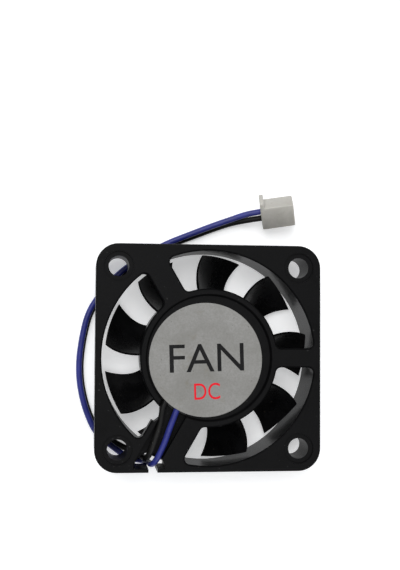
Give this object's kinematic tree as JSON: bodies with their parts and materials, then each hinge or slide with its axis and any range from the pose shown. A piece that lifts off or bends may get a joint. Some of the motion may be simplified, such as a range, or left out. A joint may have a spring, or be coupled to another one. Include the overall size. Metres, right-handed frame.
{
  "type": "axial cooling fan",
  "caption": "Square brushless axial fan for a 3D-printer hotend: one-piece frame with struts and motor base, bladed rotor, two leads and a small connector.",
  "frame": {"origin": "centre of the intake-side face, on the rotor axis, at the level the fan stands on", "axes": "+Z along the rotor axis from the intake side to the label side, +X along the plain strut, +Y to the side with no notch in its edge"},
  "size_m": [0.0434, 0.0499, 0.01],
  "materials": {
    "frame_plastic": "fine spark-eroded moulded texture, satin",
    "impeller_plastic": "smooth moulded, semi-gloss",
    "label_film": "satin silver-grey printed film, stained",
    "lead_blue_pvc": "extruded PVC, soft sheen",
    "lead_black_pvc": "extruded PVC, soft sheen",
    "nylon_white": "natural nylon, slightly translucent",
    "contact_tin": "tin-plated",
    "shaft_steel": "ground",
    "clip_nylon": "plain",
    "yoke_steel": "zinc-plated",
    "magnet_ferrite": "bonded ferrite, dull",
    "brass_tube": "turned",
    "sleeve_bronze": "sintered, oil-soaked",
    "seal_film": "plain",
    "pad_nylon": "plain",
    "lamination_steel": "stamped and stacked",
    "bobbin_nylon": "moulded, satin",
    "copper_wire": "enamelled winding wire, glossy",
    "board_laminate": "black solder mask",
    "component_black": "moulded epoxy",
    "component_ceramic": "fired ceramic",
    "solder": "bright"
  },
  "bodies": {
    "housing": {"base_resistor": "component_black", "bearing_sleeve": "sleeve_bronze", "bearing_tube": "brass_tube", "bobbin_lower": "bobbin_nylon", "bobbin_upper": "bobbin_nylon", "circuit_board": "board_laminate", "coil_1": "copper_wire", "coil_2": "copper_wire", "coil_3": "copper_wire", "coil_4": "copper_wire", "connector_housing": "nylon_white", "contact_black": "contact_tin", "contact_blue": "contact_tin", "driver_chip": "component_black", "filter_capacitor": "component_ceramic", "frame": "frame_plastic", "label": "label_film", "lead_black": "lead_black_pvc", "lead_blue": "lead_blue_pvc", "oil_seal": "seal_film", "polarity_diode": "component_black", "solder_joints": "solder", "stator_core": "lamination_steel", "thrust_pad": "pad_nylon", "winding_pins": "contact_tin"},
    "rotor": {"impeller": "impeller_plastic", "rotor_yoke": "yoke_steel", "rotor_magnet": "magnet_ferrite", "rotor_shaft": "shaft_steel", "retaining_clip": "clip_nylon"}
  },
  "joints": [
    {"name": "rotor_spin", "type": "hinge", "parent": "housing", "child": "rotor", "pos_m": [0, 0, 0.005], "axis": [0, 0, 1], "continuous": true}
  ]
}
